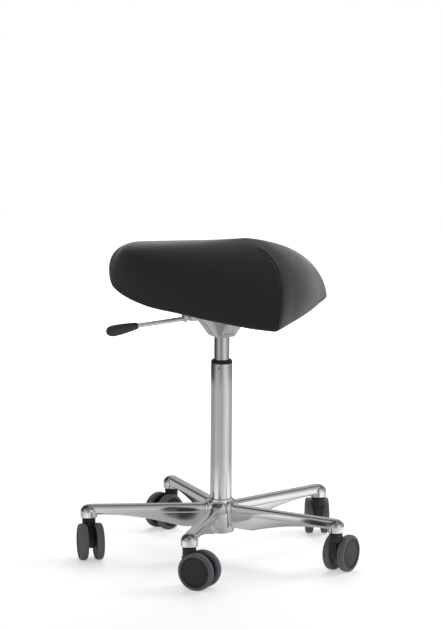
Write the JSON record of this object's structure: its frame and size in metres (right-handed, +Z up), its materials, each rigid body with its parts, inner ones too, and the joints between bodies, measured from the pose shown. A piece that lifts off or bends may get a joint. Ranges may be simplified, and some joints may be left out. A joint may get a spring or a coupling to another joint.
{
  "type": "saddle stool",
  "caption": "Height-adjustable saddle stool: fabric saddle seat on a chromed gas-lift column, release lever and a polished star base with twin-wheel castors.",
  "frame": {"origin": "under the middle of the whole stool at rest, on the floor; the column stands 8.3 mm to -X and 8.0 mm to -Y of it", "axes": "+Z up the column; -Y towards the narrow front of the saddle, +Y towards its wide rear"},
  "size_m": [0.5186, 0.5074, 0.5793],
  "materials": {
    "polished_aluminium": "die cast, ground and mirror polished",
    "cast_aluminium": "cast, lightly blasted and clear coated",
    "chrome": "bright chrome on drawn steel tube and rod",
    "plain_steel": "bright zinc or ground steel",
    "black_plastic": "moulded nylon, fine matt texture",
    "grip_plastic": "moulded, soft matt texture",
    "tread_rubber": "soft grey tread, matt",
    "black_rubber": "moulded rubber buffer",
    "saddle_fabric": "close woven wool-like cover over foam, twin needle seams",
    "birch_board": "moulded birch plywood",
    "lining_fabric": "thin black lining cloth, stapled"
  },
  "bodies": {
    "base": {"base_star": "polished_aluminium", "column_tube": "chrome", "column_end_plate": "plain_steel", "guide_bush": "black_plastic", "lower_bearing_race": "plain_steel", "thrust_bearing": "plain_steel"},
    "gas_rod": {"upper_bearing_race": "plain_steel", "bump_stop": "black_rubber", "piston_rod": "chrome", "gas_piston": "plain_steel", "retaining_clip": "plain_steel"},
    "seat": {"pressure_tube": "chrome", "rod_guide_seal": "black_plastic", "seat_bracket": "cast_aluminium", "bracket_screw_1": "plain_steel", "bracket_screw_2": "plain_steel", "bracket_screw_3": "plain_steel", "bracket_screw_4": "plain_steel", "lever_pivot_pin": "plain_steel", "seat_board": "birch_board", "underside_cover": "lining_fabric", "seat_cushion": "saddle_fabric"},
    "lever": {"lever_rod": "chrome", "lever_grip": "grip_plastic"},
    "release_pin": {"release_pin": "plain_steel"},
    "castor_a": {"castor_body_a": "black_plastic", "castor_stem_a": "plain_steel", "castor_axle_a": "plain_steel"},
    "wheel_a_left": {"wheel_disc_a_left": "black_plastic", "wheel_tread_a_left": "tread_rubber"},
    "wheel_a_right": {"wheel_disc_a_right": "black_plastic", "wheel_tread_a_right": "tread_rubber"},
    "castor_b": {"castor_body_b": "black_plastic", "castor_stem_b": "plain_steel", "castor_axle_b": "plain_steel"},
    "wheel_b_left": {"wheel_disc_b_left": "black_plastic", "wheel_tread_b_left": "tread_rubber"},
    "wheel_b_right": {"wheel_disc_b_right": "black_plastic", "wheel_tread_b_right": "tread_rubber"},
    "castor_c": {"castor_body_c": "black_plastic", "castor_stem_c": "plain_steel", "castor_axle_c": "plain_steel"},
    "wheel_c_left": {"wheel_disc_c_left": "black_plastic", "wheel_tread_c_left": "tread_rubber"},
    "wheel_c_right": {"wheel_disc_c_right": "black_plastic", "wheel_tread_c_right": "tread_rubber"},
    "castor_d": {"castor_body_d": "black_plastic", "castor_stem_d": "plain_steel", "castor_axle_d": "plain_steel"},
    "wheel_d_left": {"wheel_disc_d_left": "black_plastic", "wheel_tread_d_left": "tread_rubber"},
    "wheel_d_right": {"wheel_disc_d_right": "black_plastic", "wheel_tread_d_right": "tread_rubber"},
    "castor_e": {"castor_body_e": "black_plastic", "castor_stem_e": "plain_steel", "castor_axle_e": "plain_steel"},
    "wheel_e_left": {"wheel_disc_e_left": "black_plastic", "wheel_tread_e_left": "tread_rubber"},
    "wheel_e_right": {"wheel_disc_e_right": "black_plastic", "wheel_tread_e_right": "tread_rubber"}
  },
  "joints": [
    {"name": "seat_swivel", "type": "hinge", "parent": "base", "child": "gas_rod", "pos_m": [-0.00759, -0.00795, 0.0564], "axis": [0, 0, 1], "continuous": true},
    {"name": "seat_lift", "type": "slide", "parent": "gas_rod", "child": "seat", "axis": [0, 0, 1], "range_m": [-0.038, 0.15]},
    {"name": "lever_tip", "type": "hinge", "parent": "seat", "child": "lever", "pos_m": [0.01359, -0.02913, 0.44033], "axis": [-0.7071, -0.7071, 0], "range_deg": [0, 6], "stiffness_Nm_per_rad": 4, "springref_deg": -2.86},
    {"name": "release_pin_push", "type": "slide", "parent": "seat", "child": "release_pin", "axis": [0, 0, -1], "range_m": [0, 0.0032], "stiffness_N_per_m": 800},
    {"name": "castor_swivel_a", "type": "hinge", "parent": "base", "child": "castor_a", "pos_m": [0.22926, 0.00032, 0.073], "axis": [0, 0, 1], "continuous": true},
    {"name": "wheel_roll_a_left", "type": "hinge", "parent": "castor_a", "child": "wheel_a_left", "pos_m": [0.21909, 0.02268, 0.03259], "axis": [-0.9816, 0.1908, 0], "continuous": true},
    {"name": "wheel_roll_a_right", "type": "hinge", "parent": "castor_a", "child": "wheel_a_right", "pos_m": [0.24707, 0.01724, 0.03259], "axis": [-0.9816, 0.1908, 0], "continuous": true},
    {"name": "castor_swivel_b", "type": "hinge", "parent": "base", "child": "castor_b", "pos_m": [0.05773, 0.21987, 0.073], "axis": [0, 0, 1], "continuous": true},
    {"name": "wheel_roll_b_left", "type": "hinge", "parent": "castor_b", "child": "wheel_b_left", "pos_m": [0.03458, 0.21169, 0.03259], "axis": [-0.2756, -0.9613, 0], "continuous": true},
    {"name": "wheel_roll_b_right", "type": "hinge", "parent": "castor_b", "child": "wheel_b_right", "pos_m": [0.04244, 0.23908, 0.03259], "axis": [-0.2756, -0.9613, 0], "continuous": true},
    {"name": "castor_swivel_c", "type": "hinge", "parent": "base", "child": "castor_c", "pos_m": [-0.20407, 0.12458, 0.073], "axis": [0, 0, 1], "continuous": true},
    {"name": "wheel_roll_c_left", "type": "hinge", "parent": "castor_c", "child": "wheel_c_left", "pos_m": [-0.21869, 0.10485, 0.03259], "axis": [0.309, -0.9511, 0], "continuous": true},
    {"name": "wheel_roll_c_right", "type": "hinge", "parent": "castor_c", "child": "wheel_c_right", "pos_m": [-0.2275, 0.13195, 0.03259], "axis": [0.309, -0.9511, 0], "continuous": true},
    {"name": "castor_swivel_d", "type": "hinge", "parent": "base", "child": "castor_d", "pos_m": [-0.19435, -0.15386, 0.073], "axis": [0, 0, 1], "continuous": true},
    {"name": "wheel_roll_d_left", "type": "hinge", "parent": "castor_d", "child": "wheel_d_left", "pos_m": [-0.17006, -0.15024, 0.03259], "axis": [0.454, 0.891, 0], "continuous": true},
    {"name": "wheel_roll_d_right", "type": "hinge", "parent": "castor_d", "child": "wheel_d_right", "pos_m": [-0.183, -0.17564, 0.03259], "axis": [0.454, 0.891, 0], "continuous": true},
    {"name": "castor_swivel_e", "type": "hinge", "parent": "base", "child": "castor_e", "pos_m": [0.07347, -0.23065, 0.073], "axis": [0, 0, 1], "continuous": true},
    {"name": "wheel_roll_e_left", "type": "hinge", "parent": "castor_e", "child": "wheel_e_left", "pos_m": [0.08482, -0.20888, 0.03259], "axis": [-0.454, 0.891, 0], "continuous": true},
    {"name": "wheel_roll_e_right", "type": "hinge", "parent": "castor_e", "child": "wheel_e_right", "pos_m": [0.09776, -0.23427, 0.03259], "axis": [-0.454, 0.891, 0], "continuous": true}
  ],
  "couplings": [
    {"joint": "release_pin_push", "follows": "lever_tip", "m_per_rad": 0.03}
  ]
}
